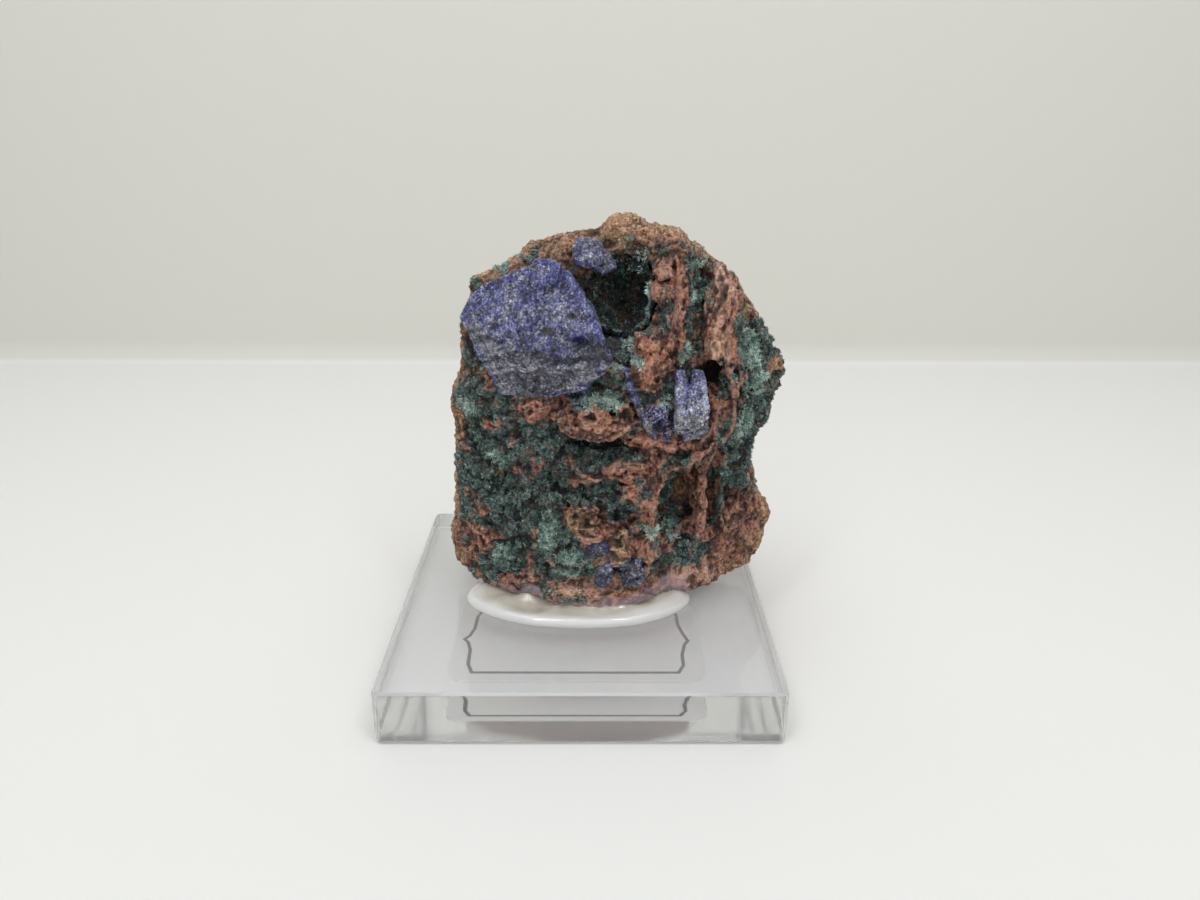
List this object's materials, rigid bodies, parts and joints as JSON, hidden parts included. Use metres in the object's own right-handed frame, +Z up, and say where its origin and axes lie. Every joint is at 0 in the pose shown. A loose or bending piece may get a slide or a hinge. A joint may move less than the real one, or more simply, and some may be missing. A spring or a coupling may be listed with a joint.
{
  "type": "azurite specimen",
  "caption": "Blue azurite crystals and green malachite on a rough brown iron-oxide matrix, glued upright on a small clear square display block with a label underneath.",
  "frame": {"origin": "under the centre of the square block, on the surface that it stands on", "axes": "+Z up, +Y from the crystal side to the back, +X to the right when looking at the crystals"},
  "size_m": [0.0466, 0.0444, 0.0529],
  "materials": {
    "label_film": "thin translucent film with a fine dark ornamental line, no lettering",
    "clear_acrylic": "clear, polished",
    "clear_glue": "milky, translucent, glossy",
    "iron_oxide_rock": "rough, granular, red-brown to ochre",
    "malachite": "fine needles, silky green",
    "azurite": "flat rough faces, glinting, grey-blue to deep blue"
  },
  "bodies": {
    "root": {"label": "label_film", "acrylic_block": "clear_acrylic", "glue_pad": "clear_glue", "matrix": "iron_oxide_rock", "malachite_crust": "malachite", "azurite_main": "azurite", "azurite_top": "azurite", "azurite_right": "azurite", "azurite_blade": "azurite", "azurite_cavity": "azurite", "azurite_low_left": "azurite", "azurite_low_middle": "azurite", "azurite_low_right": "azurite"}
  },
  "joints": []
}
